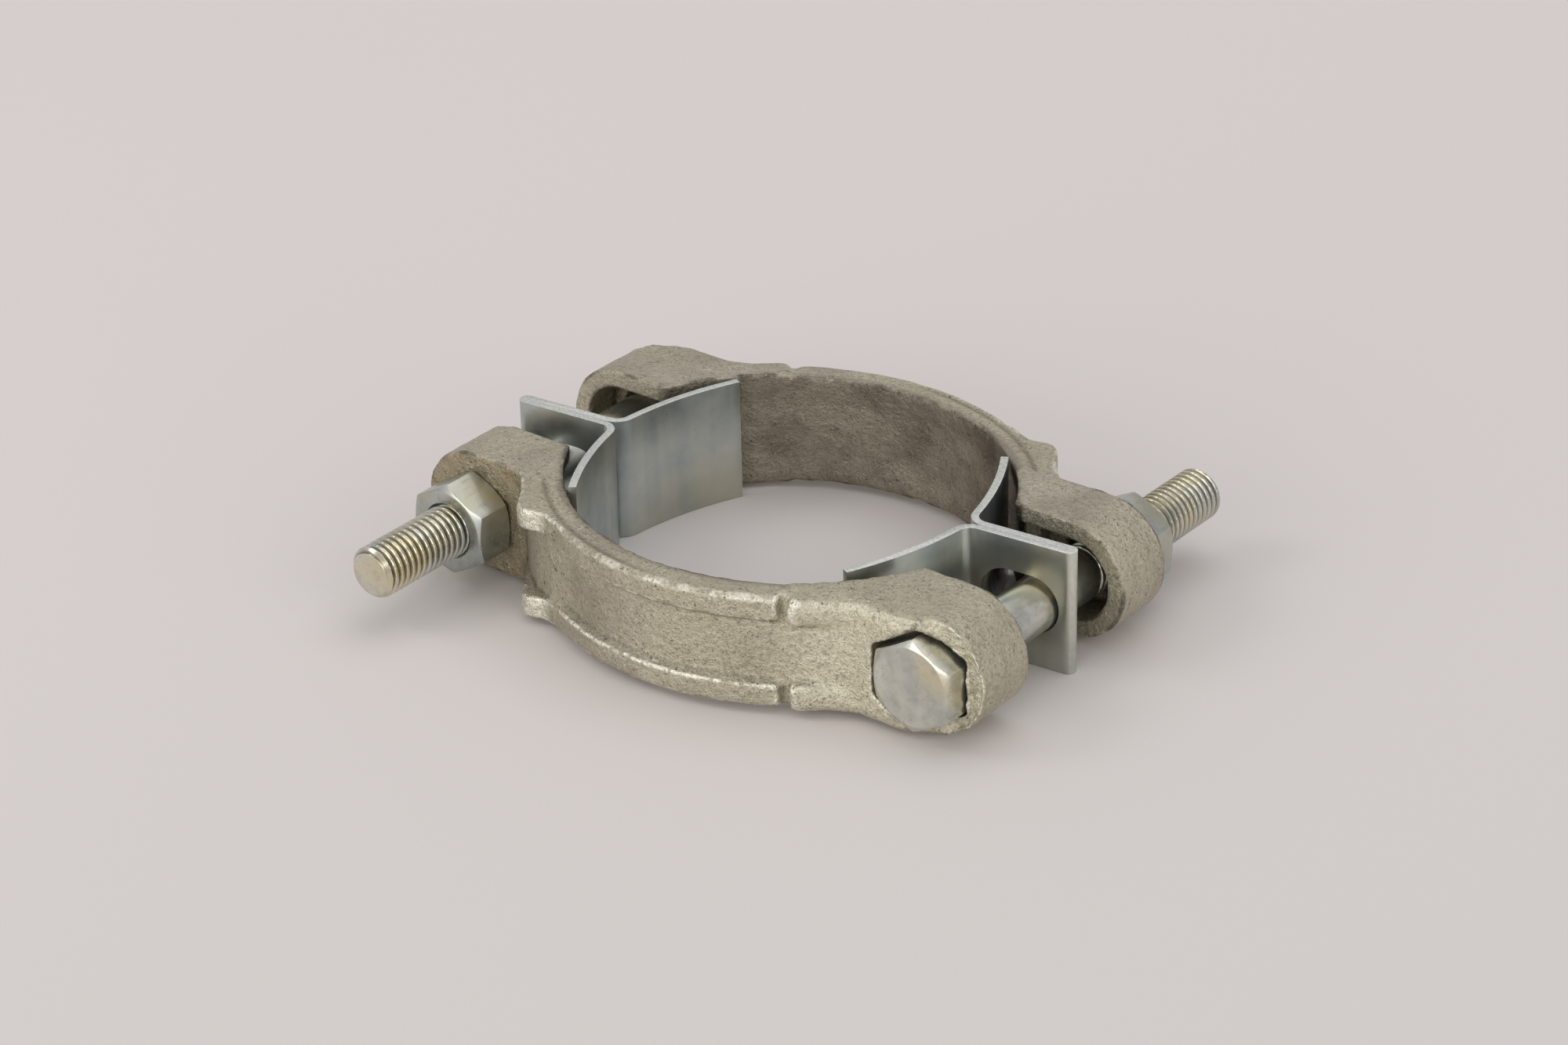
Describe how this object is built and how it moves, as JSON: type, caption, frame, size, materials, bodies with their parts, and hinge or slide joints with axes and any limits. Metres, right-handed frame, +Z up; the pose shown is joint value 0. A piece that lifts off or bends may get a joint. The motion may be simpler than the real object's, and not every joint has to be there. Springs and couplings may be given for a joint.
{
  "type": "hose clamp",
  "caption": "Ring clamp of two cast half rings drawn together by hexagon bolts, with folded steel saddles bridging the gaps, for fastening a hose over a pipe end.",
  "frame": {"origin": "on the ring axis, level with the underside, at the middle of the bounding box's bottom face", "axes": "+Z up along the ring axis; the bolts run along Y, the front casting is on the -Y side; the saddles' flanges point roughly along +X and -X"},
  "size_m": [0.15, 0.136, 0.0289],
  "materials": {
    "casting_zinc": "zinc-coated sand casting, grainy satin",
    "saddle_zinc": "zinc-plated sheet, satin",
    "bolt_zinc": "zinc-plated, satin to bright",
    "nut_zinc": "zinc-plated, satin"
  },
  "bodies": {
    "front_half": {"front_casting": "casting_zinc", "right_bolt": "bolt_zinc"},
    "rear_half": {"rear_casting": "casting_zinc", "left_bolt": "bolt_zinc"},
    "right_saddle": {"right_saddle": "saddle_zinc"},
    "left_saddle": {"left_saddle": "saddle_zinc"},
    "rear_nut": {"rear_nut": "nut_zinc"},
    "front_nut": {"front_nut": "nut_zinc"}
  },
  "joints": [
    {"name": "clamp_opening", "type": "slide", "parent": "front_half", "child": "rear_half", "axis": [0, 1, 0], "range_m": [0, 0.02]},
    {"name": "right_saddle_slide", "type": "slide", "parent": "front_half", "child": "right_saddle", "axis": [0, 1, 0], "range_m": [0, 0.01]},
    {"name": "left_saddle_slide", "type": "slide", "parent": "front_half", "child": "left_saddle", "axis": [0, 1, 0], "range_m": [0, 0.01]},
    {"name": "rear_nut_spin", "type": "hinge", "parent": "rear_half", "child": "rear_nut", "pos_m": [0.0606, 0.0385, 0.014], "axis": [0, 1, 0], "range_deg": [0, 4115]},
    {"name": "front_nut_spin", "type": "hinge", "parent": "front_half", "child": "front_nut", "pos_m": [-0.0606, -0.0385, 0.014], "axis": [0, -1, 0], "range_deg": [0, 4115]}
  ],
  "couplings": [
    {"joint": "right_saddle_slide", "follows": "clamp_opening", "ratio": 0.5},
    {"joint": "left_saddle_slide", "follows": "clamp_opening", "ratio": 0.5},
    {"joint": "rear_nut_spin", "follows": "clamp_opening", "rad_per_m": 3590.4},
    {"joint": "front_nut_spin", "follows": "clamp_opening", "rad_per_m": 3590.4}
  ]
}
